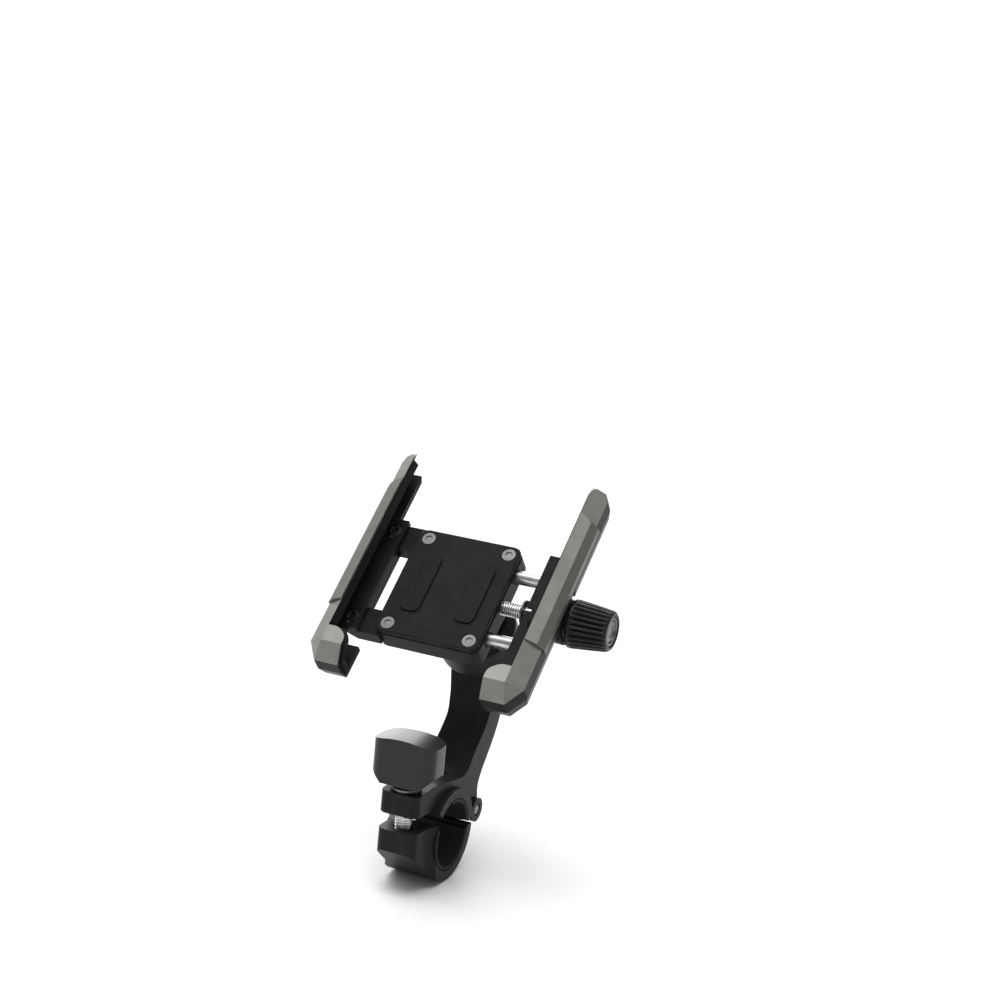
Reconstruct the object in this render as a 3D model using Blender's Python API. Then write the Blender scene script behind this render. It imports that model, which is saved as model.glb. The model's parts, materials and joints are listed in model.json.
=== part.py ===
"""Phone handlebar mount: bar clamp, bent arm, ball joint and a screw-driven phone cradle.

Frame: X along the handlebar, Y away from the rider, Z up along the clamp bolt.
The origin is on the handlebar's axis, in the middle of the clamp.
Lengths below are in millimetres and become metres when a mesh is made.
The cradle is drawn in its own frame (x, v, w): v runs up the phone, w out of its screen.
"""

import math

import bmesh
import bpy
from mathutils import Matrix, Vector

MM = 0.001
GAP = 0.3                       # between pieces that touch

# Handlebar clamp
BAR_R = 11.1                    # 22.2 mm handlebar
LINER_T = 1.2
RING_IN = BAR_R + LINER_T + GAP
RING_OUT = 15.9
RING_HALF = 9.5                 # half the ring's width along the bar
LUG_HALF = 7.1                  # half the lugs' width
LUG_FRONT = -25.0
LUG_CORNER_R = 3.2
UPPER_LUG = (12.4, 20.0)        # bottom and top
LOWER_LUG = (-0.5, 6.8)
BOLT_Y = -19.0
BOLT_R = 2.9                    # M6
HINGE = (19.6, 2.6)             # y, z of the clamp's hinge pin
HINGE_R = 4.2
HINGE_PIN_R = 1.9
KNUCKLE_HALF = 3.6

# Arm
ARM_HALF = 7.7
ARM_TOP_HALF = 9.4
ARM_BEVEL = 0.9

# Cradle frame
PHONE_W = 71.5
PHONE_T = 7.65
CRADLE_ORIGIN = (0.0, -23.72, 61.84)
CRADLE_LEAN = math.radians(41.59)   # of the phone, up from level
BALL_V = 38.5
BALL_W = -32.5
BALL_R = 7.5
CUP_R = 11.5
NUT_R = 14.2

# Jaw rails, as (s, w) where s is the distance from the middle
RIDGE = (33.0, 3.3)
EDGE = (38.6, -0.9)
FLANK_W = -6.0
WALL_S = 37.0
LIP_T = 1.0                     # thickness of the slanted lip
FLANGE = (-10.6, -8.3)
RAIL_TOP_V = 82.3
EAR_IN = 25.5
EAR_V = (2.0, 8.2)
CLAW_V = -3.7
FLANGE_S = 29.6
EDGE_FLANGE_S = 33.2
FLANGE_V = (15.5, 61.5)
PANEL_V = (18.8, 70.5)
RAIL_SCREW_S = 33.4
RAIL_SCREW_V = (20.2, 56.8)
PAD_THICK = 0.8

# Base, carriage and their screw
HOUSING_X = (-24.0, 14.0)
HOUSING_V = (17.0, 60.0)
HOUSING_W = (-18.5, -10.2)
SCREW_W = -13.6
SCREW_R = 2.5                   # M5
ROD_R = 2.4
ROD_OFFSET = 13.0
CARRIAGE_X = (23.0, 34.6)
BOSS_X = 38.0
BOSS_R = 7.8
KNOB_X = (39.0, 53.4)
KNOB_R = (8.3, 6.9)
KNOB_RIBS = 26

for old in list(bpy.data.objects):
    bpy.data.objects.remove(old, do_unlink=True)


# ---------------------------------------------------------------- materials
def material(name, colour, roughness, metallic):
    mat = bpy.data.materials.new(name)
    mat.use_nodes = True
    shader = mat.node_tree.nodes["Principled BSDF"]
    shader.inputs["Base Color"].default_value = (*colour, 1.0)
    shader.inputs["Roughness"].default_value = roughness
    shader.inputs["Metallic"].default_value = metallic
    return mat


BLACK_METAL = material("black_anodised", (0.012, 0.012, 0.013), 0.38, 0.6)
GREY_METAL = material("grey_satin_metal", (0.23, 0.23, 0.21), 0.42, 0.7)
PANEL_METAL = material("dark_grey_panel", (0.13, 0.13, 0.115), 0.45, 0.6)
RUBBER = material("black_rubber", (0.01, 0.01, 0.01), 0.85, 0.0)
PLASTIC = material("black_plastic", (0.015, 0.015, 0.016), 0.45, 0.0)
STEEL = material("bright_steel", (0.6, 0.6, 0.6), 0.25, 1.0)
BRASS = material("brass", (0.7, 0.5, 0.2), 0.35, 1.0)


# ------------------------------------------------------------------ helpers
def add_object(name, bm, mat, parent=None):
    """Turn a bmesh drawn in millimetres into a named object."""
    bmesh.ops.recalc_face_normals(bm, faces=bm.faces[:])
    bmesh.ops.scale(bm, vec=(MM, MM, MM), verts=bm.verts[:])
    mesh = bpy.data.meshes.new(name)
    bm.to_mesh(mesh)
    bm.free()
    obj = bpy.data.objects.new(name, mesh)
    bpy.context.collection.objects.link(obj)
    if mat is not None:
        mesh.materials.append(mat)
    obj.parent = parent
    return obj


def prism(outline, low, high, axis="X"):
    """Extrude a closed outline along an axis; the outline gives the other two, in order."""
    bm = bmesh.new()
    rings = []
    for level in (low, high):
        ring = []
        for a, b in outline:
            point = {"X": (level, a, b), "Y": (a, level, b), "Z": (a, b, level)}[axis]
            ring.append(bm.verts.new(point))
        rings.append(ring)
    bm.faces.new(rings[0])
    bm.faces.new(rings[1])
    count = len(outline)
    for i in range(count):
        j = (i + 1) % count
        bm.faces.new((rings[0][i], rings[0][j], rings[1][j], rings[1][i]))
    return bm


def box(x, y, z):
    return prism([(x[0], y[0]), (x[1], y[0]), (x[1], y[1]), (x[0], y[1])], z[0], z[1], "Z")


def turned(profile, segments, axis="Z", centre=(0.0, 0.0, 0.0)):
    """Revolve a closed profile of (radius, height); radius 0 lies on the axis."""
    bm = bmesh.new()
    columns = []
    for i in range(segments):
        turn = 2.0 * math.pi * i / segments
        column = []
        for j, (r, h) in enumerate(profile):
            if r == 0.0 and i > 0:
                column.append(columns[0][j])
                continue
            a = r * math.cos(turn)
            b = r * math.sin(turn)
            local = {"Z": (a, b, h), "X": (h, a, b), "Y": (b, h, a)}[axis]
            column.append(bm.verts.new(Vector(local) + Vector(centre)))
        columns.append(column)
    count = len(profile)
    for i in range(segments):
        here = columns[i]
        there = columns[(i + 1) % segments]
        for j in range(count):
            k = (j + 1) % count
            corners = []
            for corner in (here[j], here[k], there[k], there[j]):
                if corner not in corners:
                    corners.append(corner)
            if len(corners) > 2:
                bm.faces.new(corners)
    return bm


def hull(points):
    bm = bmesh.new()
    for point in points:
        bm.verts.new(point)
    bmesh.ops.convex_hull(bm, input=bm.verts[:])
    bmesh.ops.dissolve_limit(bm, angle_limit=0.01, verts=bm.verts[:], edges=bm.edges[:])
    return bm


def cylinder(radius, low, high, centre, axis="X", segments=24):
    profile = [(0.0, low), (radius, low), (radius, high), (0.0, high)]
    return turned(profile, segments, axis, centre)


def apply_modifiers(obj):
    graph = bpy.context.evaluated_depsgraph_get()
    evaluated = obj.evaluated_get(graph)
    mesh = bpy.data.meshes.new_from_object(evaluated)
    obj.modifiers.clear()
    old = obj.data
    obj.data = mesh
    mesh.name = obj.name
    bpy.data.meshes.remove(old)
    bm = bmesh.new()
    bm.from_mesh(mesh)
    bmesh.ops.remove_doubles(bm, verts=bm.verts[:], dist=0.004 * MM)
    bmesh.ops.dissolve_degenerate(bm, edges=bm.edges[:], dist=0.004 * MM)
    bm.to_mesh(mesh)
    bm.free()


def bevel(obj, width, segments=1, angle=35.0):
    modifier = obj.modifiers.new("bevel", "BEVEL")
    modifier.width = width * MM
    modifier.segments = segments
    modifier.limit_method = "ANGLE"
    modifier.angle_limit = math.radians(angle)
    apply_modifiers(obj)


def combine(obj, tool_bm, operation="DIFFERENCE"):
    """Boolean obj with a bmesh drawn in the same frame, and apply it."""
    tool = add_object("tool", tool_bm, None, obj.parent)
    combine_object(obj, tool, operation)


def combine_object(obj, tool, operation):
    modifier = obj.modifiers.new("combine", "BOOLEAN")
    modifier.operation = operation
    modifier.solver = "EXACT"
    modifier.object = tool
    bpy.context.view_layer.update()
    apply_modifiers(obj)
    bpy.data.objects.remove(tool, do_unlink=True)


def smooth(obj, angle=35.0):
    obj.data.shade_smooth()
    obj.data.set_sharp_from_angle(angle=math.radians(angle))
    return obj


def arc(radius, start, stop, steps, centre=(0.0, 0.0)):
    """Points on an arc, in degrees, from start to stop."""
    points = []
    for i in range(steps + 1):
        turn = math.radians(start + (stop - start) * i / steps)
        points.append((centre[0] + radius * math.cos(turn), centre[1] + radius * math.sin(turn)))
    return points


def rounded(points, radius, steps=4):
    """An outline with every corner of a polygon rounded."""
    result = []
    count = len(points)
    for i in range(count):
        before = Vector(points[i - 1])
        corner = Vector(points[i])
        after = Vector(points[(i + 1) % count])
        to_before = (before - corner).normalized()
        to_after = (after - corner).normalized()
        half = 0.5 * to_before.angle(to_after)
        reach = radius / math.tan(half)
        middle = corner + (to_before + to_after).normalized() * (radius / math.sin(half))
        first = corner + to_before * reach - middle
        last = corner + to_after * reach - middle
        start = math.degrees(math.atan2(first.y, first.x))
        turn = math.degrees(first.angle_signed(last))
        result += arc(radius, start, start - turn, steps, (middle.x, middle.y))
    return result


def flowing(points, steps=4):
    """A smooth curve through the points, by Catmull and Rom's rule."""
    padded = [points[0]] + list(points) + [points[-1]]
    result = []
    for i in range(1, len(padded) - 2):
        p0, p1, p2, p3 = (Vector(p) for p in padded[i - 1:i + 3])
        for step in range(steps):
            t = step / steps
            a = p1 * 2.0
            b = (p2 - p0) * t
            c = (p0 * 2.0 - p1 * 5.0 + p2 * 4.0 - p3) * t * t
            d = (p1 * 3.0 - p0 - p2 * 3.0 + p3) * t * t * t
            result.append(tuple((a + b + c + d) * 0.5))
    result.append(tuple(points[-1]))
    return result


# ------------------------------------------------------------- frames
def frame(name, location, lean):
    empty = bpy.data.objects.new(name, None)
    bpy.context.collection.objects.link(empty)
    empty.matrix_world = Matrix.Translation(Vector(location) * MM) @ Matrix.Rotation(lean, 4, "X")
    return empty


def cradle_point(x, v, w):
    turn = Matrix.Rotation(CRADLE_LEAN, 3, "X")
    return Vector(CRADLE_ORIGIN) + turn @ Vector((x, v, w))


CRADLE = frame("cradle_frame", CRADLE_ORIGIN, CRADLE_LEAN)
JOINT = frame("ball_frame", cradle_point(0.0, BALL_V, BALL_W), CRADLE_LEAN)
bpy.context.view_layer.update()


# -------------------------------------------------------------- bar clamp
def lug_plan(half_ring):
    """The clamp seen from above: lug with round corners, flaring into the ring."""
    corner = LUG_CORNER_R
    right = arc(corner, 270.0, 360.0, 5, (LUG_HALF - corner, LUG_FRONT + corner))
    flare = flowing([(LUG_HALF, -17.5), (LUG_HALF + 0.3, -14.6), (half_ring, -10.5)], 3)
    side = right + flare + [(half_ring, 26.0)]
    mirrored = [(-x, y) for x, y in reversed(side)]
    return side + mirrored


def upper_clamp_and_arm():
    """One casting: upper lug, upper half of the ring, arm and ball cup."""
    top = [(LUG_FRONT, UPPER_LUG[1]), (-10.0, UPPER_LUG[1])]
    front = flowing([(-10.0, 20.0), (-3.0, 19.3), (4.0, 18.2), (9.5, 17.8), (13.2, 19.6), (16.2, 23.2),
                     (20.0, 27.0), (23.6, 30.4), (25.8, 33.6), (26.8, 38.0), (27.8, 44.0), (28.6, 49.5)], 3)
    crown = [(33.0, 56.0), (38.4, 60.2), (40.4, 58.8), (41.4, 56.4)]
    back = flowing([(41.4, 52.5), (40.2, 46.0), (38.3, 39.0), (37.0, 33.4), (34.6, 28.0), (30.4, 22.0),
                    (26.0, 16.6), (22.8, 11.5), (22.6, 8.0)], 3)
    split = 0.6
    rear = [(HINGE[0] + HINGE_R - 0.4, 5.0), (HINGE[0], split + 2.0), (RING_IN, split)]
    start = math.degrees(math.asin(split / RING_IN))
    stop = 180.0 - math.degrees(math.asin(UPPER_LUG[0] / RING_IN))
    bore = arc(RING_IN - 0.8, start, stop, 16)[1:]
    outline = top + front[1:] + crown + back + rear + bore + [(LUG_FRONT, UPPER_LUG[0])]
    obj = add_object("arm_and_upper_clamp", prism(outline, -ARM_TOP_HALF, ARM_TOP_HALF), BLACK_METAL)
    plan = add_object("tool", prism(arm_plan(), -5.0, 60.0, "Z"), None)
    combine_object(obj, plan, "INTERSECT")
    flare = [(ARM_HALF, -30.0), (ARM_HALF, 33.0), (ARM_HALF + 0.4, 40.0), (ARM_TOP_HALF + 0.1, 50.0),
             (ARM_TOP_HALF + 0.1, 70.0)]
    flare += [(-x, z) for x, z in reversed(flare)]
    combine(obj, prism(flare, -40.0, 60.0, "Y"), "INTERSECT")
    half = ARM_TOP_HALF + 0.1
    round_top = prism(arc(half, 0.0, 180.0, 16) + [(-half, -110.0), (half, -110.0)], -60.0, 20.0, "Z")
    place(round_top)
    combine(obj, round_top, "INTERSECT")
    bevel(obj, ARM_BEVEL, 2, 50.0)
    ring = arc(RING_OUT, start + 1.0, 136.0, 18) + arc(RING_IN - 0.5, 136.0, start + 1.0, 20)
    combine(obj, prism(ring, -RING_HALF, RING_HALF), "UNION")
    for side in (-1.0, 1.0):
        knuckle = cylinder(HINGE_R, KNUCKLE_HALF + GAP, RING_HALF, (0.0, *HINGE), "X", 24)
        if side < 0.0:
            bmesh.ops.scale(knuckle, vec=(-1.0, 1.0, 1.0), verts=knuckle.verts[:])
        combine(obj, knuckle, "UNION")
    cup_outline = [(0.0, -13.0), (7.0, -13.0), (CUP_R, -8.5), (CUP_R, 2.2), (0.0, 2.2)]
    cup = turned(cup_outline, 32)
    place(cup)
    combine(obj, cup, "UNION")
    # openings: bore clearance, knuckle of the lower jaw, hinge pin, bolt, ball seat
    combine(obj, cylinder(RING_IN, -12.0, 12.0, (0.0, 0.0, 0.0), "X", 48))
    combine(obj, cylinder(HINGE_R + 0.5, -KNUCKLE_HALF - GAP, KNUCKLE_HALF + GAP, (0.0, *HINGE), "X", 24))
    combine(obj, cylinder(HINGE_PIN_R + GAP, -12.0, 12.0, (0.0, *HINGE), "X", 16))
    combine(obj, cylinder(BOLT_R + 0.5, 8.0, 24.0, (0.0, BOLT_Y, 0.0), "Z", 24))
    seat = turned(sphere_profile(BALL_R + GAP, 14), 32)
    place(seat)
    combine(obj, seat)
    mouth = turned([(0.0, 0.0), (BALL_R + GAP, 0.0), (BALL_R + 1.0, 3.0), (0.0, 3.0)], 32)
    place(mouth)
    combine(obj, mouth)
    return smooth(obj)


def arm_plan():
    """The arm and upper lug seen from above."""
    corner = LUG_CORNER_R
    side = arc(corner, 270.0, 360.0, 5, (LUG_HALF - corner, LUG_FRONT + corner))
    side += flowing([(LUG_HALF, -8.0), (LUG_HALF + 0.4, -3.0), (ARM_HALF, 2.0)], 2)
    side += [(ARM_HALF, 18.0), (ARM_TOP_HALF + 0.2, 18.5), (ARM_TOP_HALF + 0.2, 60.0)]
    return side + [(-x, y) for x, y in reversed(side)]


def place(bm):
    """Move a shape drawn about the ball's centre into the world frame."""
    centre = cradle_point(0.0, BALL_V, BALL_W)
    matrix = Matrix.Translation(centre) @ Matrix.Rotation(CRADLE_LEAN, 4, "X")
    bmesh.ops.transform(bm, matrix=matrix, verts=bm.verts[:])


def sphere_profile(radius, steps):
    points = []
    for i in range(steps + 1):
        turn = math.pi * i / steps - math.pi / 2.0
        r = radius * math.cos(turn)
        if i in (0, steps):
            r = 0.0
        points.append((r, radius * math.sin(turn)))
    return points


def lower_clamp():
    """The swinging lower jaw: front lug, lower half of the ring and hinge knuckle."""
    lug_stop = 180.0 - math.degrees(math.asin(LOWER_LUG[1] / RING_IN))
    bore = arc(RING_IN - 0.8, -3.0, lug_stop - 360.0, 26)
    reach = math.hypot(LUG_FRONT, LOWER_LUG[0])
    toe = math.degrees(math.atan2(LOWER_LUG[0], LUG_FRONT)) + 360.0
    tangent = toe + math.degrees(math.acos(RING_OUT / reach))
    lug = [(LUG_FRONT, LOWER_LUG[1]), (LUG_FRONT, LOWER_LUG[0])]
    outline = bore + lug + arc(RING_OUT, tangent, 357.0, 16)
    obj = add_object("clamp_lower_jaw", prism(outline, -RING_HALF, RING_HALF), BLACK_METAL)
    combine(obj, prism(lug_plan(RING_HALF), -20.0, 20.0, "Z"), "INTERSECT")
    bevel(obj, 0.7, 2, 50.0)
    web = [(12.9, -6.0), (15.0, -7.0), (HINGE[0] + 2.5, HINGE[1] - 3.2),
           (HINGE[0], HINGE[1] + 1.0), (14.9, -0.3)]
    combine(obj, prism(web, -KNUCKLE_HALF, KNUCKLE_HALF), "UNION")
    combine(obj, cylinder(HINGE_R, -KNUCKLE_HALF, KNUCKLE_HALF, (0.0, *HINGE), "X", 24), "UNION")
    combine(obj, cylinder(RING_IN, -12.0, 12.0, (0.0, 0.0, 0.0), "X", 48))
    combine(obj, cylinder(HINGE_PIN_R + GAP, -12.0, 12.0, (0.0, *HINGE), "X", 16))
    combine(obj, cylinder(BOLT_R + 0.5, 0.6, 10.0, (0.0, BOLT_Y, 0.0), "Z", 24))
    return smooth(obj)


def clamp_hardware():
    bolt_profile = [(0.0, 1.2), (BOLT_R - 0.5, 1.2), (BOLT_R, 1.8), (BOLT_R, 31.0), (0.0, 31.0)]
    smooth(add_object("clamp_bolt", turned(bolt_profile, 24, "Z", (0.0, BOLT_Y, 0.0)), STEEL))
    washer = [(BOLT_R + GAP, 20.3), (5.2, 20.3), (5.2, 21.2), (BOLT_R + GAP, 21.2)]
    smooth(add_object("thumb_washer", turned(washer, 24, "Z", (0.0, BOLT_Y, 0.0)), STEEL))
    pin = [(0.0, -9.3), (HINGE_PIN_R - 0.3, -9.3), (HINGE_PIN_R, -9.0), (HINGE_PIN_R, 9.0),
           (HINGE_PIN_R - 0.3, 9.3), (0.0, 9.3)]
    smooth(add_object("clamp_hinge_pin", turned(pin, 16, "X", (0.0, *HINGE)), STEEL))
    upper = arc(BAR_R + LINER_T, 8.0, 98.0, 14) + arc(BAR_R, 98.0, 8.0, 14)
    smooth(add_object("clamp_liner_upper", prism(upper, -RING_HALF, RING_HALF), RUBBER))
    lower = arc(BAR_R + LINER_T, -8.0, -205.0, 26) + arc(BAR_R, -205.0, -8.0, 26)
    smooth(add_object("clamp_liner_lower", prism(lower, -RING_HALF, RING_HALF), RUBBER))


def thumb_knob():
    """Wing knob on the clamp bolt: arched top, chamfered lower corners, round neck."""
    half, depth, low = 11.3, 6.4, 22.4
    arch = arc(40.0, 73.6, 106.4, 8, (0.0, 38.4 - 40.0))
    outline = [(-half, 26.6), (-half + 4.4, low), (half - 4.4, low), (half, 26.6)] + arch
    obj = add_object("thumb_knob", prism(outline, -depth, depth, "Y"), BLACK_METAL)
    plan = rounded([(-half, -depth), (half, -depth), (half, depth), (-half, depth)], 4.0, 5)
    bm = prism(plan, low - 2.0, 45.0, "Z")
    combine(obj, bm, "INTERSECT")
    bevel(obj, 0.8, 2, 40.0)
    neck = [(0.0, 21.5), (4.6, 21.5), (5.0, 22.6), (5.0, 24.0), (0.0, 24.0)]
    combine(obj, turned(neck, 24), "UNION")
    combine(obj, cylinder(BOLT_R + GAP, 20.0, 31.4, (0.0, 0.0, 0.0), "Z", 24))
    obj.location = (0.0, BOLT_Y * MM, 0.0)
    return smooth(obj, 30.0)


# -------------------------------------------------------------- ball joint
def ball_joint():
    bore = SCREW_R + GAP
    profile = [(bore, -3.8)]
    steps = 16
    lowest = -math.pi / 2.0
    neck_turn = math.acos(3.7 / BALL_R)
    profile = [(0.0, -BALL_R)]
    for i in range(1, steps + 1):
        turn = lowest + (neck_turn - lowest) * i / steps
        profile.append((BALL_R * math.cos(turn), BALL_R * math.sin(turn)))
    profile += [(3.7, 11.2), (bore, 11.2), (bore, -3.8), (0.0, -3.8)]
    smooth(add_object("ball", turned(profile, 28), STEEL, JOINT))

    plate = [(0.0, -3.4), (SCREW_R, -3.4), (SCREW_R, 11.5), (12.6, 11.5), (13.0, 11.9),
             (13.0, 13.7), (0.0, 13.7)]
    obj = add_object("ball_plate", turned(plate, 32), BLACK_METAL, JOINT)
    for i in range(4):
        turn = math.radians(45.0 + 90.0 * i)
        centre = (9.2 * math.cos(turn), 9.2 * math.sin(turn), 0.0)
        combine(obj, cylinder(1.9, 10.0, 15.0, centre, "Z", 12))
        screw = add_object(f"ball_plate_screw_{i + 1}", pan_screw(2.6, 1.5, 1.6, 6.0), STEEL, JOINT)
        screw.location = (centre[0] * MM, centre[1] * MM, 11.2 * MM)
        screw.rotation_euler = (0.0, math.pi, 0.0)
        smooth(screw)
    smooth(obj)

    inner = CUP_R + GAP
    ring = [(inner, -6.5), (inner, 2.6), (8.3, 2.8), (6.4, 5.6), (11.4, 5.6), (NUT_R - 0.6, 3.4),
            (NUT_R, 2.8), (NUT_R, -5.9), (NUT_R - 0.6, -6.5)]
    obj = add_object("ball_lock_nut", turned(ring, 36), BLACK_METAL, JOINT)
    smooth(obj)


def pan_screw(head_r, shank_r, head_h, length):
    """A small screw: head from 0 up, shank from 0 down, with a socket in the head."""
    profile = [(0.0, -length), (shank_r, -length), (shank_r, 0.0), (head_r, 0.0), (head_r, head_h * 0.7),
               (head_r - 0.4, head_h), (head_r * 0.42, head_h), (head_r * 0.42, head_h * 0.4),
               (0.0, head_h * 0.4)]
    return turned(profile, 12)


# --------------------------------------------------------------- base
def base():
    v_mid = BALL_V
    outline = rounded([(HOUSING_X[0], HOUSING_V[0]), (HOUSING_X[1], HOUSING_V[0]),
                       (HOUSING_X[1], HOUSING_V[1]), (HOUSING_X[0], HOUSING_V[1])], 3.0, 3)
    obj = add_object("base_housing", prism(outline, *HOUSING_W, "Z"), BLACK_METAL, CRADLE)
    bevel(obj, 0.8, 1, 50.0)
    wing = [(-36.6, -10.9), (-34.6, -10.9), (-22.0, -10.9), (-22.0, -15.6), (-30.0, -15.6), (-34.6, -13.4)]
    wing = [(-34.8, -10.9), (-34.8, -12.9), (-31.0, -15.6), (-22.0, -15.6), (-22.0, -10.9)]
    combine(obj, prism([(x, w) for x, w in wing], 16.0, 61.0, "Y"), "UNION")
    combine(obj, box((-30.5, -24.6), (26.0, 51.0), (-17.0, -9.0)))
    for centre, radius, depth in ((v_mid, SCREW_R + GAP, -19.0), (v_mid - ROD_OFFSET, ROD_R + GAP, -17.0),
                                  (v_mid + ROD_OFFSET, ROD_R + GAP, -17.0)):
        combine(obj, cylinder(radius, depth, 20.0, (0.0, centre, SCREW_W), "X", 20))
    combine(obj, box((5.7, 12.3), (v_mid - 4.3, v_mid + 4.3), (SCREW_W - 4.3, -9.0)))
    for v in RAIL_SCREW_V:
        combine(obj, cylinder(1.8, -17.0, -9.0, (-RAIL_SCREW_S, v, 0.0), "Z", 12))
    for i, (x, v) in enumerate(cover_screw_places()):
        combine(obj, cylinder(1.5, -15.0, -9.0, (x, v, 0.0), "Z", 12))
    for i in range(4):
        turn = math.radians(45.0 + 90.0 * i)
        centre = (9.2 * math.cos(turn), v_mid + 9.2 * math.sin(turn), 0.0)
        combine(obj, cylinder(1.8, -20.0, -14.5, centre, "Z", 12))
    smooth(obj)
    nut = add_object("lead_nut", box((6.0, 12.0), (v_mid - 4.0, v_mid + 4.0), (SCREW_W - 4.0, SCREW_W + 3.3)),
                     BRASS, CRADLE)
    combine(nut, cylinder(SCREW_R + GAP, 0.0, 20.0, (0.0, v_mid, SCREW_W), "X", 20))
    cover()


def cover_screw_places():
    places = []
    for x in (HOUSING_X[0] + 4.0, HOUSING_X[1] - 4.0):
        for v in (HOUSING_V[0] + 3.6, HOUSING_V[1] - 3.6):
            places.append((x, v))
    return places


def cover():
    low = HOUSING_W[1] + GAP
    high = low + 1.4
    outline = rounded([(HOUSING_X[0], HOUSING_V[0]), (HOUSING_X[1], HOUSING_V[0]),
                       (HOUSING_X[1], HOUSING_V[1]), (HOUSING_X[0], HOUSING_V[1])], 3.0, 3)
    obj = add_object("base_cover", prism(outline, low, high, "Z"), BLACK_METAL, CRADLE)
    bevel(obj, 0.4, 1, 50.0)
    for i, (x, v) in enumerate(cover_screw_places()):
        combine(obj, turned([(0.0, low - 1.0), (1.5, low - 1.0), (1.5, low + 0.3), (3.0, high + 0.1),
                             (0.0, high + 0.1)], 14, "Z", (x, v, 0.0)))
        screw = [(0.0, low - 3.6), (1.2, low - 3.6), (1.2, low + 0.45), (2.5, high - 0.1), (1.2, high - 0.1),
                 (1.2, low + 0.9), (0.0, low + 0.9)]
        smooth(add_object(f"cover_screw_{i + 1}", turned(screw, 14, "Z", (x, v, 0.0)), STEEL, CRADLE))
    smooth(obj)
    for name, x in (("phone_pad_left", -15.0), ("phone_pad_right", 5.0)):
        strip = rounded([(x - 3.6, 26.5), (x + 3.6, 26.5), (x + 3.6, 50.5), (x - 3.6, 50.5)], 2.5, 4)
        smooth(add_object(name, prism(strip, high + GAP - 0.05, -PHONE_T - 0.1, "Z"), RUBBER, CRADLE))


# --------------------------------------------------------------- jaw rails
def rail_shell():
    """Outer shape of a right-hand rail with its claw, before it is hollowed."""
    points = []
    ridge_s, ridge_w = RIDGE
    edge_s, edge_w = EDGE
    for v in (EAR_V[0], RAIL_TOP_V - 2.2):
        points += [(ridge_s, v, ridge_w), (EAR_IN, v, ridge_w)]
    slope = (edge_w - ridge_w) / (edge_s - ridge_s)
    points += [(ridge_s + 1.5, RAIL_TOP_V, ridge_w + slope * 1.5),
               (edge_s - 1.2, RAIL_TOP_V, edge_w - slope * 1.2)]
    points += [(EAR_IN, RAIL_TOP_V, ridge_w + slope * 1.5)]
    for w in (edge_w, FLANK_W):
        points += [(edge_s, 3.0, w), (34.2, CLAW_V, w), (EAR_IN, CLAW_V, w)]
        points += [(edge_s, RAIL_TOP_V - 2.4, w), (edge_s - 1.2, RAIL_TOP_V, w), (EAR_IN, RAIL_TOP_V, w)]
    low = FLANGE[0]
    points += [(edge_s - 1.2, 3.6, low), (33.6, CLAW_V + 1.6, low), (EAR_IN, CLAW_V + 1.6, low)]
    points += [(edge_s - 1.2, RAIL_TOP_V - 2.8, low), (EAR_IN, RAIL_TOP_V - 2.8, low)]
    return hull(points)


def ear_outline(grow):
    """The round-ended ear that hooks over the phone's corner, seen from the front."""
    inner = EAR_IN - grow
    top = EAR_V[1] + grow
    ear = flowing([(inner, 3.0), (inner + 0.3, 5.2), (inner + 2.2, 7.2 + grow), (inner + 4.6, top),
                   (RIDGE[0], top)], 3)
    return ear


def lip_underside(offset):
    """The pocket's section below the slanted lip, offset from the lip's outer face."""
    edge_s, edge_w = EDGE
    ridge_s, ridge_w = RIDGE
    along = Vector((edge_s - ridge_s, edge_w - ridge_w)).normalized()
    inward = Vector((along.y, -along.x))
    start = Vector(RIDGE) + inward * offset
    return start, along


def on_lip(offset, s):
    start, along = lip_underside(offset)
    return start.y + along.y * (s - start.x) / along.x


def rail_pocket(inner_s, top_v, shrink):
    """The hollow of a right-hand rail and claw, shrunk all round by a clearance."""
    ceiling = on_lip(LIP_T + shrink, RIDGE[0])
    wall = WALL_S - shrink
    shoulder = on_lip(LIP_T + shrink, wall)
    points = []
    for s in (inner_s, RIDGE[0]):
        points += [(s, 1.9 + shrink, ceiling), (s, top_v, ceiling)]
    for w in (shoulder, FLANGE[1] + 2.0 * shrink):
        points += [(wall, 3.6 + shrink, w), (wall, top_v, w)]
    for w in (-1.6 - shrink, FLANGE[1] + 2.0 * shrink):
        points += [(33.4 - shrink, -2.4 + shrink, w), (inner_s, -2.4 + shrink, w), (inner_s, top_v, w)]
    return hull(points)


def cut_rail(obj, side):
    mirror = Matrix.Scale(side, 4, Vector((1.0, 0.0, 0.0)))

    def cut(bm):
        if side < 0.0:
            bmesh.ops.transform(bm, matrix=mirror, verts=bm.verts[:])
        combine(obj, bm)

    cut(rail_pocket(20.0, 95.0, 0.0))
    front = ear_outline(0.0)
    opening = [(20.0, 3.0)] + front + [(RIDGE[0], 95.0), (20.0, 95.0)]
    cut(prism(opening, FLANGE[1], 8.0, "Z"))
    for low, high in ((9.0, FLANGE_V[0]), (FLANGE_V[1], 95.0)):
        cut(box((20.0, EDGE_FLANGE_S), (low, high), (-12.0, -8.0)))
    cut(box((20.0, FLANGE_S), (FLANGE_V[0] - 1.0, FLANGE_V[1] + 1.0), (-12.0, -8.0)))
    if side > 0.0:
        cut(box((20.0, 40.0), (BALL_V - BOSS_R - 0.6, BALL_V + BOSS_R + 0.6), (-12.0, FLANK_W - 0.3)))
    for v in RAIL_SCREW_V:
        cut(turned([(0.0, -12.0), (1.8, -12.0), (1.8, FLANGE[1] - 1.4), (3.2, FLANGE[1] + 0.1),
                    (0.0, FLANGE[1] + 0.1)], 14, "Z", (RAIL_SCREW_S, v, 0.0)))


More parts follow.
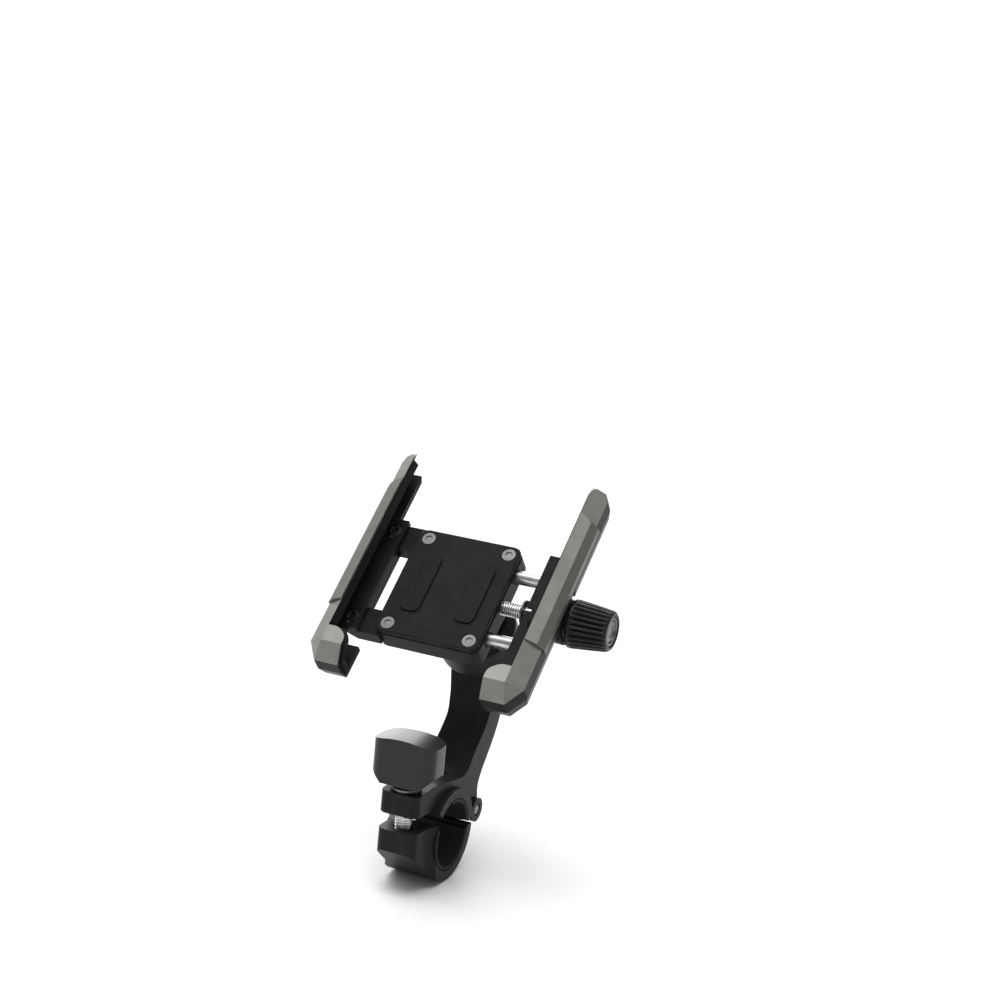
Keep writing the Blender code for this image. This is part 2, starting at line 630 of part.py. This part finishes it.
def mirrored(bm, side):
    if side < 0.0:
        bmesh.ops.scale(bm, vec=(-1.0, 1.0, 1.0), verts=bm.verts[:])
    return bm


def jaw(word, side):
    """A rail with its claw, cover panel, side pad, corner pad and two screws."""
    rail = add_object(f"{word}_rail", mirrored(rail_shell(), side), GREY_METAL, CRADLE)
    cut_rail(rail, side)
    smooth(rail, 20.0)

    section = [(33.2, 3.75), (37.4, 1.9), (39.35, -1.0), (39.35, -3.4),
               (38.9, -3.4), (38.9, -0.75), (33.2, 3.5)]
    panel_bm = prism(section, *PANEL_V, "Y")
    for vert in panel_bm.verts:
        if vert.co.y > 50.0:
            vert.co.y += 0.8 - 0.56 * (min(vert.co.x, 37.4) - RIDGE[0])
    panel = add_object(f"{word}_rail_panel", mirrored(panel_bm, side), PANEL_METAL, CRADLE)
    smooth(panel, 15.0)

    tip = RIDGE[0] - GAP
    inner = PHONE_W / 2.0 + 0.15
    outer = WALL_S - GAP
    side_pad = [(tip, 3.1), (31.6, 0.25), (34.4, 0.25), (inner, -0.9), (inner, -7.4), (outer, -7.4),
                (outer, on_lip(LIP_T + GAP, outer)), (tip, on_lip(LIP_T + GAP, tip))]
    pad = prism(side_pad, 9.2, 79.4, "Y")
    bmesh.ops.triangulate(pad, faces=pad.faces[:])
    smooth(add_object(f"{word}_side_pad", mirrored(pad, side), RUBBER, CRADLE), 20.0)
    corner_pad(word, side, inner, outer)

    for i, v in enumerate(RAIL_SCREW_V):
        top = FLANGE[1]
        profile = [(0.0, top - 5.4), (1.4, top - 5.4), (1.4, top - 1.3), (2.7, top - 0.15), (1.3, top - 0.15),
                   (1.3, top - 0.9), (0.0, top - 0.9)]
        screw = turned(profile, 14, "Z", (side * RAIL_SCREW_S, v, 0.0))
        smooth(add_object(f"{word}_rail_screw_{i + 1}", screw, STEEL, CRADLE))


def phone_corner(inner):
    """The room for the phone's rounded corner, with its front edge eased."""
    points = []
    for s, v in ((10.0, -0.2), (28.0, -0.2), (32.6, 2.2), (35.0, 5.0),
                 (inner, 8.9), (inner, 20.0), (10.0, 20.0)):
        points += [(s, v, -9.0), (s, v, -1.4)]
    for s, v in ((10.0, 1.6), (27.6, 1.6), (31.6, 3.6), (33.6, 6.0), (34.2, 8.9), (34.2, 20.0), (10.0, 20.0)):
        points.append((s, v, 0.25))
    return hull(points)


def corner_pad(word, side, inner, outer):
    """Moulded rubber that lines the claw over, under and beside the phone's corner."""
    grow = 0.9
    front = ear_outline(grow)
    plan = [(EAR_IN - grow, -9.0)] + front
    plan += [(RIDGE[0] + 0.2, 8.9), (outer + 1.0, 8.9), (outer + 1.0, -9.0)]
    pocket = mirrored(rail_pocket(EAR_IN - 2.0, 8.9, GAP), side)
    obj = add_object(f"{word}_corner_pad", pocket, RUBBER, CRADLE)
    combine(obj, mirrored(prism(plan, -9.0, 6.0, "Z"), side), "INTERSECT")
    combine(obj, mirrored(phone_corner(inner), side))
    smooth(obj, 25.0)


# -------------------------------------------------- carriage, screw and knob
def carriage():
    v_mid = BALL_V
    low, high = -17.6, FLANGE[0] - GAP
    outline = [(CARRIAGE_X[0], low + 0.8), (CARRIAGE_X[0] + 0.8, low), (30.6, low),
               (CARRIAGE_X[1], low + 4.0), (CARRIAGE_X[1], high), (CARRIAGE_X[0], high)]
    obj = add_object("jaw_carriage", prism(outline, 16.0, 61.0, "Y"), BLACK_METAL, CRADLE)
    boss = [(0.0, 26.0), (7.2, 26.0), (BOSS_R, BOSS_X - 0.5), (BOSS_R - 0.4, BOSS_X), (0.0, BOSS_X)]
    boss_bm = turned(boss, 32, "X", (0.0, v_mid, SCREW_W))
    boss_obj = add_object("tool_boss", boss_bm, None, CRADLE)
    combine(boss_obj, box((20.0, WALL_S + 0.3), (20.0, 60.0), (-8.6, 0.0)))
    combine(boss_obj, box((20.0, 42.0), (20.0, 60.0), (FLANK_W - 0.6, 0.0)))
    combine_object(obj, boss_obj, "UNION")
    combine(obj, cylinder(SCREW_R + GAP, 20.0, 42.0, (0.0, v_mid, SCREW_W), "X", 20))
    for offset in (-ROD_OFFSET, ROD_OFFSET):
        combine(obj, cylinder(ROD_R + GAP, 20.0, 32.0, (0.0, v_mid + offset, SCREW_W), "X", 20))
    for v in RAIL_SCREW_V:
        combine(obj, cylinder(1.8, -15.0, -9.0, (RAIL_SCREW_S, v, 0.0), "Z", 12))
    smooth(obj)
    for name, offset in (("guide_rod_lower", -ROD_OFFSET), ("guide_rod_upper", ROD_OFFSET)):
        rod = [(0.0, -8.0), (ROD_R - 0.4, -8.0), (ROD_R, -7.6), (ROD_R, 31.6), (0.0, 31.6)]
        smooth(add_object(name, turned(rod, 20, "X", (0.0, v_mid + offset, SCREW_W)), STEEL, CRADLE))


def adjusting_knob():
    """Lead screw, retaining clip, washer, ribbed knob and its end disc, about the screw's axis."""
    axis = bpy.data.objects.new("screw_frame", None)
    bpy.context.collection.objects.link(axis)
    axis.parent = CRADLE
    axis.location = (0.0, BALL_V * MM, SCREW_W * MM)
    bpy.context.view_layer.update()
    groove = (21.4, 22.5)
    screw = [(0.0, -10.0), (SCREW_R - 0.4, -10.0), (SCREW_R, -9.6), (SCREW_R, groove[0]), (1.8, groove[0]),
             (1.8, groove[1]), (SCREW_R, groove[1]), (SCREW_R, 50.0), (0.0, 50.0)]
    smooth(add_object("lead_screw", turned(screw, 20, "X"), STEEL, axis))
    clip = [(2.1, groove[0] + 0.2), (4.3, groove[0] + 0.2), (4.3, groove[1] - 0.2), (2.1, groove[1] - 0.2)]
    smooth(add_object("lead_screw_clip", turned(clip, 20, "X"), STEEL, axis))
    washer = [(SCREW_R + GAP, BOSS_X + 0.25), (6.6, BOSS_X + 0.25), (6.6, BOSS_X + 0.7),
              (SCREW_R + GAP, BOSS_X + 0.7)]
    smooth(add_object("knob_washer", turned(washer, 24, "X"), STEEL, axis))

    bm = bmesh.new()
    rings = []
    stations = [(KNOB_X[0], 7.6, 0.0), (KNOB_X[0] + 0.7, KNOB_R[0], 0.0),
                (KNOB_X[0] + 1.6, KNOB_R[0] - 0.05, 0.75),
                (KNOB_X[1] - 0.7, KNOB_R[1], 0.7), (KNOB_X[1], KNOB_R[1] - 0.6, 0.3)]
    for x, radius, depth in stations:
        ring = []
        for i in range(KNOB_RIBS):
            for part, inset in ((0.0, 0.0), (0.42, 0.0), (0.56, depth), (0.86, depth)):
                turn = 2.0 * math.pi * (i + part) / KNOB_RIBS
                r = radius - inset
                ring.append(bm.verts.new((x, r * math.cos(turn), r * math.sin(turn))))
        rings.append(ring)
    bm.faces.new(rings[0])
    bm.faces.new(rings[-1])
    for one, two in zip(rings, rings[1:]):
        for i in range(len(one)):
            j = (i + 1) % len(one)
            bm.faces.new((one[i], one[j], two[j], two[i]))
    knob = add_object("knob_body", bm, PLASTIC, axis)
    combine(knob, cylinder(SCREW_R + GAP, 30.0, 50.3, (0.0, 0.0, 0.0), "X", 20))
    combine(knob, cylinder(5.0, KNOB_X[1] - 1.5, 60.0, (0.0, 0.0, 0.0), "X", 28))
    smooth(knob, 30.0)
    end = KNOB_X[1] - 1.2
    disc = [(0.0, end), (4.7, end), (4.7, end + 0.9), (3.7, end + 0.9), (3.3, end + 0.4), (0.0, end + 0.4)]
    smooth(add_object("knob_end_disc", turned(disc, 28, "X"), STEEL, axis))


upper_clamp_and_arm()
lower_clamp()
clamp_hardware()
thumb_knob()
ball_joint()
base()
jaw("left", -1.0)
jaw("right", 1.0)
carriage()
adjusting_knob()
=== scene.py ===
"""Looks for the phone handlebar mount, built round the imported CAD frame."""

import json
import math

import bmesh
import bpy
from mathutils import Matrix, Vector


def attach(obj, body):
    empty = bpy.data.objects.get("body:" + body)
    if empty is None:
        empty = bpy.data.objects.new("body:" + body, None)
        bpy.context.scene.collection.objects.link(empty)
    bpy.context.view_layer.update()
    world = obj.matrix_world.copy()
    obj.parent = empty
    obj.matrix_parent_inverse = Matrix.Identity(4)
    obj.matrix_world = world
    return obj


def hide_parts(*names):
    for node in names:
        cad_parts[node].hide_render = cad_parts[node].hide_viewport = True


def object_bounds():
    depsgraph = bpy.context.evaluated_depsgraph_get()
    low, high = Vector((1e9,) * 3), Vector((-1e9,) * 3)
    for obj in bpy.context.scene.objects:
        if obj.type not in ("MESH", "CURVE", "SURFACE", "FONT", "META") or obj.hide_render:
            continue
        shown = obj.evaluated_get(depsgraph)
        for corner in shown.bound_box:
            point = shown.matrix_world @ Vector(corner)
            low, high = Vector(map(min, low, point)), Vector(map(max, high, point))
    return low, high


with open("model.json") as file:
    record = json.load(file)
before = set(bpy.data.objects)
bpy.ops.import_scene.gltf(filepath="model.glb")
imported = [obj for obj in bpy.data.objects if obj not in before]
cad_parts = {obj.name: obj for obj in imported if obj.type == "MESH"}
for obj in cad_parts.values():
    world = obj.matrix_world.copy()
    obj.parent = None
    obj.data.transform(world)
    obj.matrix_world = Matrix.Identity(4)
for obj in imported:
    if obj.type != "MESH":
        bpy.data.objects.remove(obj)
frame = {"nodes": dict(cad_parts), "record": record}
cad_box = [[float(c) for c in corner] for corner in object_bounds()]
NODES = frame["nodes"]
BODY_OF = {}
for body_name, members in frame["record"]["behaviour"]["bodies"].items():
    for member in members:
        BODY_OF[member] = body_name
MM = 0.001

# Where the CAD puts things, in millimetres
CRADLE_ORIGIN = Vector((0.0, -23.72, 61.84))
CRADLE_LEAN = math.radians(41.59)   # of the phone, up from level
SCREW_V = 38.5                      # the lead screw's place in the cradle's frame
SCREW_W = -13.6
BOLT_Y = -19.0                      # the clamp bolt's axis
FLOOR_GAP = 0.2                     # between the clamp and the floor

# Only the rail's facets near the phone's face keep the grey; the rest is made black as painted shade,
# standing in for the shade on the flanks and lower faces
GREY_LOWEST_W = -0.9
GREY_LEAST_FACING = 0.3
FLANGE_FACING = 0.98

# Camera: the viewing angle that the part is shown from
CAMERA_PLACE = Vector((278.66, -621.35, 276.08))
CAMERA_RIGHT = Vector((0.90758, 0.40913, 0.09445))
CAMERA_FORWARD = Vector((-0.38009, 0.89609, -0.22923))
CAMERA_LENS = 77.35
SENSOR_WIDTH = 36.0


# ---------------------------------------------------------------- materials
class Shader:
    """A Principled material with a few helpers for procedural detail."""

    def __init__(self, name, metallic=0.0):
        self.mat = bpy.data.materials.new(name)
        self.mat.use_nodes = True
        self.tree = self.mat.node_tree
        self.bsdf = self.tree.nodes["Principled BSDF"]
        self.bsdf.inputs["Metallic"].default_value = metallic
        self.coords = self.tree.nodes.new("ShaderNodeTexCoord")

    def noise(self, scale, detail=4.0, stretch=(1.0, 1.0, 1.0)):
        mapping = self.tree.nodes.new("ShaderNodeMapping")
        mapping.inputs["Scale"].default_value = stretch
        self.tree.links.new(self.coords.outputs["Object"], mapping.inputs["Vector"])
        noise = self.tree.nodes.new("ShaderNodeTexNoise")
        noise.inputs["Scale"].default_value = scale
        noise.inputs["Detail"].default_value = detail
        self.tree.links.new(mapping.outputs["Vector"], noise.inputs["Vector"])
        return noise.outputs["Fac"]

    def colour(self, factor, dark, light, low=0.35, high=0.65):
        ramp = self.tree.nodes.new("ShaderNodeValToRGB")
        ramp.color_ramp.elements[0].position = low
        ramp.color_ramp.elements[0].color = (*dark, 1.0)
        ramp.color_ramp.elements[1].position = high
        ramp.color_ramp.elements[1].color = (*light, 1.0)
        self.tree.links.new(factor, ramp.inputs["Fac"])
        self.tree.links.new(ramp.outputs["Color"], self.bsdf.inputs["Base Color"])

    def roughness(self, factor, low, high):
        spread = self.tree.nodes.new("ShaderNodeMapRange")
        spread.inputs["From Min"].default_value = 0.3
        spread.inputs["From Max"].default_value = 0.7
        spread.inputs["To Min"].default_value = low
        spread.inputs["To Max"].default_value = high
        self.tree.links.new(factor, spread.inputs["Value"])
        self.tree.links.new(spread.outputs["Result"], self.bsdf.inputs["Roughness"])

    def dull(self, level, tint):
        """Weaker reflections, for blasted black finishes."""
        self.bsdf.inputs["Specular IOR Level"].default_value = level
        self.bsdf.inputs["Specular Tint"].default_value = (tint, tint, tint, 1.0)

    def bump(self, factor, strength, distance):
        node = self.tree.nodes.new("ShaderNodeBump")
        node.inputs["Strength"].default_value = strength
        node.inputs["Distance"].default_value = distance
        self.tree.links.new(factor, node.inputs["Height"])
        self.tree.links.new(node.outputs["Normal"], self.bsdf.inputs["Normal"])


def anodised():
    """Satin black anodised alloy, its shade and gloss a little uneven."""
    shader = Shader("look_black_anodised")
    shader.colour(shader.noise(160.0), (0.019, 0.019, 0.0195), (0.024, 0.024, 0.0245))
    shader.roughness(shader.noise(90.0, 6.0), 0.30, 0.36)
    shader.dull(0.045, 0.5)
    return shader.mat


def gloss_black():
    """The smoother black of the turned thumb knob."""
    shader = Shader("look_thumb_knob")
    shader.colour(shader.noise(30.0, 1.0), (0.016, 0.016, 0.016), (0.019, 0.019, 0.019), 0.2, 0.8)
    shader.roughness(shader.noise(40.0, 1.0), 0.28, 0.33)
    shader.dull(0.35, 0.7)
    return shader.mat


def grey_metal(name, dark, light):
    """Bead-blasted grey alloy, a little warm."""
    shader = Shader(name, 0.55)
    shader.colour(shader.noise(220.0, 5.0), dark, light)
    shader.roughness(shader.noise(150.0, 6.0), 0.38, 0.52)
    shader.bump(shader.noise(4600.0, 3.0), 0.25, 0.00005)
    return shader.mat


def rubber():
    shader = Shader("look_rubber")
    shader.colour(shader.noise(300.0), (0.008, 0.008, 0.008), (0.010, 0.010, 0.010))
    shader.roughness(shader.noise(400.0, 4.0), 0.68, 0.76)
    shader.dull(0.3, 0.6)
    return shader.mat


def plastic():
    """Moulded black plastic of the ribbed knob."""
    shader = Shader("look_knob_plastic")
    shader.colour(shader.noise(220.0), (0.006, 0.006, 0.0065), (0.010, 0.010, 0.0105))
    shader.roughness(shader.noise(300.0, 4.0), 0.3, 0.46)
    shader.bump(shader.noise(3600.0, 3.0), 0.10, 0.00004)
    shader.dull(0.4, 0.6)
    return shader.mat


def steel(name, level, stretch, low, high):
    """Zinc-plated steel with turning marks across the stretch direction."""
    shader = Shader(name, 1.0)
    dark = (level * 0.8, level * 0.8, level * 0.79)
    shader.colour(shader.noise(260.0, 5.0), dark, (level, level, level * 0.98))
    shader.roughness(shader.noise(350.0, 4.0), low, high)
    shader.bump(shader.noise(700.0, 3.0, stretch), 0.12, 0.00005)
    return shader.mat


def brass():
    shader = Shader("look_brass", 1.0)
    shader.colour(shader.noise(300.0), (0.55, 0.38, 0.13), (0.68, 0.49, 0.2))
    shader.roughness(shader.noise(300.0, 4.0), 0.25, 0.4)
    return shader.mat


ANODISED = anodised()
THUMB = gloss_black()
GREY = grey_metal("look_grey_rail", (0.228, 0.226, 0.206), (0.254, 0.251, 0.232))
PANEL = grey_metal("look_rail_panel", (0.150, 0.146, 0.130), (0.168, 0.164, 0.148))
RUBBER = rubber()
PLASTIC = plastic()
STEEL = steel("look_steel", 0.62, (1.0, 1.0, 6.0), 0.2, 0.34)
DARK_STEEL = steel("look_dark_steel", 0.16, (1.0, 1.0, 6.0), 0.28, 0.42)
BRASS = brass()


# ------------------------------------------------------------------ helpers
def finished(obj, body, mat, slot, *replaced):
    obj.data.materials.clear()
    obj.data.materials.append(mat)
    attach(obj, body)
    if replaced:
        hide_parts(*replaced)
    return obj


def mesh_object(name, bm):
    mesh = bpy.data.meshes.new(name)
    bm.to_mesh(mesh)
    bm.free()
    obj = bpy.data.objects.new(name, mesh)
    bpy.context.scene.collection.objects.link(obj)
    return obj


def refined(node, width, mat, slot, segments=3, angle=28.0, smooth=50.0):
    """The CAD node with its corners worked: merged flats, rolled edges, soft shading."""
    bm = bmesh.new()
    bm.from_mesh(NODES[node].data)
    bmesh.ops.remove_doubles(bm, verts=bm.verts[:], dist=0.000004)
    bmesh.ops.dissolve_limit(bm, angle_limit=math.radians(0.6), verts=bm.verts[:], edges=bm.edges[:])
    bmesh.ops.dissolve_degenerate(bm, edges=bm.edges[:], dist=0.00001)
    obj = mesh_object(f"{node}_look", bm)
    if width > 0.0:
        modifier = obj.modifiers.new("rolled_edges", "BEVEL")
        modifier.width = width * MM
        modifier.segments = segments
        modifier.limit_method = "ANGLE"
        modifier.angle_limit = math.radians(angle)
        modifier.use_clamp_overlap = True
        modifier.miter_outer = "MITER_ARC"
    obj.data.shade_smooth()
    obj.data.set_sharp_from_angle(angle=math.radians(smooth))
    weighted = obj.modifiers.new("weighted_normals", "WEIGHTED_NORMAL")
    weighted.keep_sharp = True
    finished(obj, BODY_OF[node], mat, slot, node)
    return obj


def paint_flank_shade(obj, second):
    """Painted shade: everything but the facets that face the rider takes the second material, in place of
    the shade on the flanks and lower faces.
    """
    obj.data.materials.append(second)
    turn = cradle_matrix().inverted()
    for face in obj.data.polygons:
        place = turn @ face.center
        normal = turn.to_3x3() @ face.normal
        below = place.z < GREY_LOWEST_W * MM
        turned_away = normal.z < GREY_LEAST_FACING
        flange = place.z < 0.0 and normal.z > FLANGE_FACING
        # low, turned-away and flange faces get the black as painted shade
        if below or turned_away or flange:
            face.material_index = 1


def cradle_matrix():
    return Matrix.Translation(CRADLE_ORIGIN * MM) @ Matrix.Rotation(CRADLE_LEAN, 4, "X")


def thread(name, major, minor, pitch, start, stop, per_turn=28):
    """A threaded rod along +Z in millimetres, as one closed helical skin."""
    bm = bmesh.new()
    rows = []
    steps = int(round((stop - start) / pitch * 4))
    for row in range(steps + 1):
        ring = []
        for i in range(per_turn):
            turn = i / per_turn
            z = start + (row / 4.0) * pitch + turn * pitch
            phase = row % 4
            radius = (major, major - 0.02, minor, minor + 0.02)[phase]
            z = min(z, stop)
            if row < 4:
                radius = min(radius, minor + 0.1)
            angle = 2.0 * math.pi * turn
            point = (radius * math.cos(angle), radius * math.sin(angle), z)
            ring.append(bm.verts.new(Vector(point) * MM))
        rows.append(ring)
    for row in range(len(rows) - 1):
        for i in range(per_turn):
            here = rows[row][i]
            above = rows[row + 1][i]
            if i + 1 < per_turn:
                side, side_above = rows[row][i + 1], rows[row + 1][i + 1]
            elif row + 5 < len(rows):
                side, side_above = rows[row + 4][0], rows[row + 5][0]
            else:
                continue
            bm.faces.new((here, side, side_above, above))
    return mesh_object(name, bm)


def turned(name, profile, segments, matrix):
    """A closed turned piece from (radius, height) points in millimetres, about local Z."""
    bm = bmesh.new()
    columns = []
    for i in range(segments):
        angle = 2.0 * math.pi * i / segments
        column = []
        for j, (r, h) in enumerate(profile):
            if r == 0.0 and i > 0:
                column.append(columns[0][j])
                continue
            column.append(bm.verts.new(Vector((r * math.cos(angle), r * math.sin(angle), h)) * MM))
        columns.append(column)
    count = len(profile)
    for i in range(segments):
        here, there = columns[i], columns[(i + 1) % segments]
        for j in range(count):
            k = (j + 1) % count
            corners = []
            for corner in (here[j], here[k], there[k], there[j]):
                if corner not in corners:
                    corners.append(corner)
            if len(corners) > 2:
                bm.faces.new(corners)
    bmesh.ops.recalc_face_normals(bm, faces=bm.faces[:])
    bm.transform(matrix)
    obj = mesh_object(name, bm)
    obj.data.shade_smooth()
    obj.data.set_sharp_from_angle(angle=math.radians(35.0))
    return obj


def along_x(matrix):
    """Turns local Z onto the matrix's X."""
    return matrix @ Matrix.Rotation(math.radians(90.0), 4, "Y")


# ------------------------------------------------------- special pieces
def clamp_bolt():
    place = Matrix.Translation((0.0, BOLT_Y * MM, 0.0))
    core = turned("clamp_bolt_core", [(0.0, 1.2), (2.1, 1.2), (2.45, 1.6), (2.45, 20.2), (2.88, 20.2),
                                      (2.88, 31.0), (0.0, 31.0)], 32, place)
    finished(core, "thumb_knob", STEEL, "bright_steel", "clamp_bolt")
    helix = thread("clamp_bolt_thread", 2.88, 2.44, 1.0, 1.5, 20.0)
    helix.data.transform(place)
    finished(helix, "thumb_knob", STEEL, "bright_steel")


def lead_screw():
    place = along_x(cradle_matrix() @ Matrix.Translation(Vector((0.0, SCREW_V, SCREW_W)) * MM))
    core = turned("lead_screw_core", [(0.0, -10.0), (1.8, -10.0), (2.06, -9.6), (2.06, 21.4), (1.8, 21.4),
                                      (1.8, 22.5), (2.45, 22.5), (2.45, 50.0), (0.0, 50.0)], 28, place)
    finished(core, "phone_knob", STEEL, "bright_steel", "lead_screw")
    helix = thread("lead_screw_thread", 2.46, 2.06, 0.8, -9.4, 21.3)
    helix.data.transform(place)
    finished(helix, "phone_knob", STEEL, "bright_steel")


def knob():
    """The tapered ribbed knob: rounded ribs between a plain collar and a rolled end."""
    place = along_x(cradle_matrix() @ Matrix.Translation(Vector((0.0, SCREW_V, SCREW_W)) * MM))
    ribs, per_rib = 26, 8
    stations = [(39.05, 6.6, 0.0), (39.0, 7.3, 0.0), (39.2, 7.95, 0.0), (39.55, 8.2, 0.0),
                (40.45, 8.22, 0.0), (40.65, 8.2, 0.1), (41.0, 8.15, 0.75), (42.5, 8.0, 0.85),
                (46.5, 7.6, 0.85), (50.8, 7.12, 0.8), (51.8, 7.0, 0.7), (52.5, 6.86, 0.45),
                (53.0, 6.6, 0.15), (53.35, 6.1, 0.0), (53.4, 5.5, 0.0), (53.2, 5.15, 0.0),
                (52.6, 5.02, 0.0), (51.95, 5.0, 0.0)]
    bm = bmesh.new()
    rings = []
    for x, radius, depth in stations:
        ring = []
        for i in range(ribs * per_rib):
            share = (i % per_rib) / per_rib
            groove = 0.5 - 0.5 * math.cos(2.0 * math.pi * share)
            inset = depth * groove ** 1.6
            angle = 2.0 * math.pi * i / (ribs * per_rib)
            r = radius - inset
            ring.append(bm.verts.new(Vector((r * math.cos(angle), r * math.sin(angle), x)) * MM))
        rings.append(ring)
    for one, two in zip(rings, rings[1:]):
        for i in range(len(one)):
            j = (i + 1) % len(one)
            bm.faces.new((one[i], one[j], two[j], two[i]))
    bm.faces.new(rings[0])
    bm.faces.new(rings[-1])
    bmesh.ops.recalc_face_normals(bm, faces=bm.faces[:])
    bm.transform(place)
    obj = mesh_object("ribbed_knob", bm)
    obj.data.shade_smooth()
    obj.data.set_sharp_from_angle(angle=math.radians(50.0))
    finished(obj, "phone_knob", PLASTIC, "black_plastic", "knob_body")
    end = turned("knob_end", [(0.0, 52.1), (4.75, 52.1), (4.9, 52.3), (4.85, 53.0), (4.6, 53.15),
                              (4.1, 53.15), (3.9, 52.9), (3.8, 52.45), (0.0, 52.4)], 48, place)
    finished(end, "phone_knob", DARK_STEEL, "bright_steel", "knob_end_disc")
    boss = turned("knob_end_core", [(0.0, 52.42), (3.7, 52.5), (3.5, 52.75), (2.2, 52.85), (2.0, 52.6),
                                    (0.0, 52.55)], 40, place)
    finished(boss, "phone_knob", DARK_STEEL, "bright_steel")


clamp_bolt()
lead_screw()
knob()

refined("arm_and_upper_clamp", 0.25, ANODISED, "black_anodised", 2)
refined("clamp_lower_jaw", 0.25, ANODISED, "black_anodised", 2)
refined("thumb_knob", 0.3, THUMB, "black_anodised", 2)
refined("ball_plate", 0.25, ANODISED, "black_anodised", 2)
refined("ball_lock_nut", 0.35, ANODISED, "black_anodised", 3)
refined("base_housing", 0.3, ANODISED, "black_anodised", 2)
refined("base_cover", 0.25, ANODISED, "black_anodised", 2)
refined("jaw_carriage", 0.35, ANODISED, "black_anodised", 2)
for side in ("left", "right"):
    # the rail's turned-away faces are blacked as painted shade
    paint_flank_shade(refined(f"{side}_rail", 0.16, GREY, "grey_satin_metal", 2, 14.0, 30.0), ANODISED)
    refined(f"{side}_rail_panel", 0.10, PANEL, "dark_grey_panel", 2, 14.0, 30.0)
    refined(f"{side}_side_pad", 0.12, RUBBER, "black_rubber", 2, 20.0, 40.0)
    refined(f"{side}_corner_pad", 0.2, RUBBER, "black_rubber", 3, 25.0, 40.0)
for name in ("clamp_liner_upper", "clamp_liner_lower", "phone_pad_left", "phone_pad_right"):
    refined(name, 0.15, RUBBER, "black_rubber", 2)
for name, node in NODES.items():
    if node.hide_render:
        continue
    if name == "lead_nut":
        refined(name, 0.2, BRASS, "brass", 2)
    elif name == "ball":
        refined(name, 0.0, STEEL, "bright_steel")
    elif name in ("thumb_washer", "knob_washer", "lead_screw_clip", "clamp_hinge_pin"):
        refined(name, 0.1, DARK_STEEL, "bright_steel", 2)
    elif "screw_" in name:
        refined(name, 0.1, DARK_STEEL, "bright_steel", 2)
    else:
        refined(name, 0.12, STEEL, "bright_steel", 2)


# ----------------------------------------------------------- stage and view
floor_z = cad_box[0][2] - FLOOR_GAP * MM
bm = bmesh.new()
bmesh.ops.create_grid(bm, x_segments=1, y_segments=1, size=6.0)
bm.transform(Matrix.Translation((0.0, 0.0, floor_z)))
floor = mesh_object("floor", bm)
floor_mat = bpy.data.materials.new("floor")
floor_mat.use_nodes = True
floor_shader = floor_mat.node_tree.nodes["Principled BSDF"]
floor_shader.inputs["Base Color"].default_value = (0.92, 0.92, 0.92, 1.0)
floor_shader.inputs["Roughness"].default_value = 0.9
floor.data.materials.append(floor_mat)

world = bpy.data.worlds.new("studio")
world.use_nodes = True
nodes = world.node_tree.nodes
links = world.node_tree.links
sky = nodes.new("ShaderNodeTexCoord")


def sky_lobe(direction, edge, centre, low, high):
    """A soft patch of sky: low outside, high within, by the cosine to a direction."""
    along = nodes.new("ShaderNodeVectorMath")
    along.operation = "DOT_PRODUCT"
    along.inputs[1].default_value = Vector(direction).normalized()
    links.new(sky.outputs["Generated"], along.inputs[0])
    fade = nodes.new("ShaderNodeMapRange")
    fade.interpolation_type = "SMOOTHSTEP"
    fade.inputs["From Min"].default_value = edge
    fade.inputs["From Max"].default_value = centre
    fade.inputs["To Min"].default_value = low
    fade.inputs["To Max"].default_value = high
    links.new(along.outputs["Value"], fade.inputs["Value"])
    return fade.outputs["Result"]


def combined(first, second, operation):
    node = nodes.new("ShaderNodeMath")
    node.operation = operation
    links.new(first, node.inputs[0])
    links.new(second, node.inputs[1])
    return node.outputs["Value"]


level = sky_lobe((-0.3, 0.1, 0.95), 0.35, 0.95, 0.75, 1.5)
level = combined(level, sky_lobe((-0.38, 0.90, 0.24), 0.86, 0.99, 0.0, 3.0), "ADD")
level = combined(level, sky_lobe((0.2, -0.95, -0.1), -0.1, 0.4, 1.0, 0.4), "MULTIPLY")
level = combined(level, sky_lobe((0.95, 0.1, 0.3), 0.2, 0.7, 1.0, 0.45), "MULTIPLY")
links.new(level, nodes["Background"].inputs["Color"])
nodes["Background"].inputs["Strength"].default_value = 1.0
bpy.context.scene.world = world

sun_data = bpy.data.lights.new("soft_sun", "SUN")
sun_data.energy = 1.6
sun_data.angle = math.radians(40.0)
sun = bpy.data.objects.new("soft_sun", sun_data)
sun.rotation_euler = Vector((0.02, -0.22, 0.97)).to_track_quat("Z", "Y").to_euler()
bpy.context.scene.collection.objects.link(sun)

camera_data = bpy.data.cameras.new("camera")
camera_data.sensor_width = SENSOR_WIDTH
camera_data.lens = CAMERA_LENS
camera_data.clip_start = 0.01
camera_data.clip_end = 30.0
camera = bpy.data.objects.new("camera", camera_data)
bpy.context.scene.collection.objects.link(camera)
right = CAMERA_RIGHT.normalized()
forward = CAMERA_FORWARD.normalized()
up = right.cross(forward).normalized()
axes = Matrix((right, up, -forward)).transposed()
camera.matrix_world = Matrix.Translation(CAMERA_PLACE * MM) @ axes.to_4x4()
bpy.context.scene.camera = camera
bpy.context.scene.view_settings.view_transform = "Standard"
